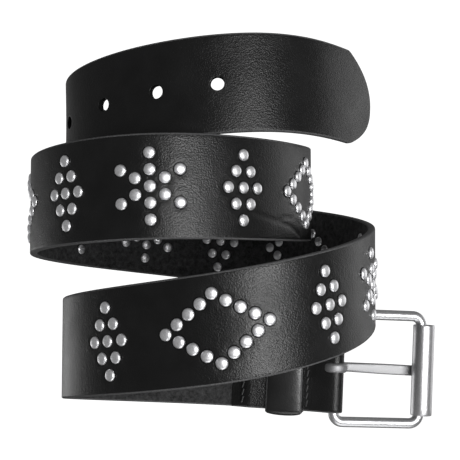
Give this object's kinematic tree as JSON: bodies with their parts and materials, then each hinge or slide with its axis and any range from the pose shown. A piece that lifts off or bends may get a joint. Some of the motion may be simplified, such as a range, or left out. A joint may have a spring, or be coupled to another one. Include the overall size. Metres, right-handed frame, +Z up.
{
  "type": "studded leather belt with roller buckle",
  "caption": "Black leather belt with round metal studs, wound in an open coil, with a roller buckle folded into one end, a keeper loop and a row of prong holes near the rounded tip.",
  "frame": {"origin": "on the axis of the coil's lowest turn, level with the lowest point of the buckle", "axes": "+Z up along the coil, the picture's open front faces -Y, the buckle end points to +X"},
  "size_m": [0.1784, 0.1447, 0.1663],
  "materials": {
    "leather": "smooth black grain leather, satin",
    "nickel": "satin nickel"
  },
  "bodies": {
    "strap": {"strap": "leather", "fold_loop_upper": "leather", "fold_loop_lower": "leather", "keeper": "leather"},
    "frame": {"buckle_frame": "nickel"},
    "prong": {"buckle_prong": "nickel"},
    "roller": {"buckle_roller": "nickel"}
  },
  "joints": [
    {"name": "frame_swing", "type": "hinge", "parent": "strap", "child": "frame", "pos_m": [0.0507, 0.04413, 0.0278], "axis": [0.0428, -0.0086, 0.999], "range_deg": [-20, 45]},
    {"name": "prong_hinge", "type": "hinge", "parent": "frame", "child": "prong", "pos_m": [0.0507, 0.04413, 0.0278], "axis": [0.0428, -0.0086, 0.999], "range_deg": [0, 50]},
    {"name": "roller_spin", "type": "hinge", "parent": "frame", "child": "roller", "pos_m": [0.09076, 0.0502, 0.02614], "axis": [0.0428, -0.0086, 0.999], "continuous": true}
  ]
}
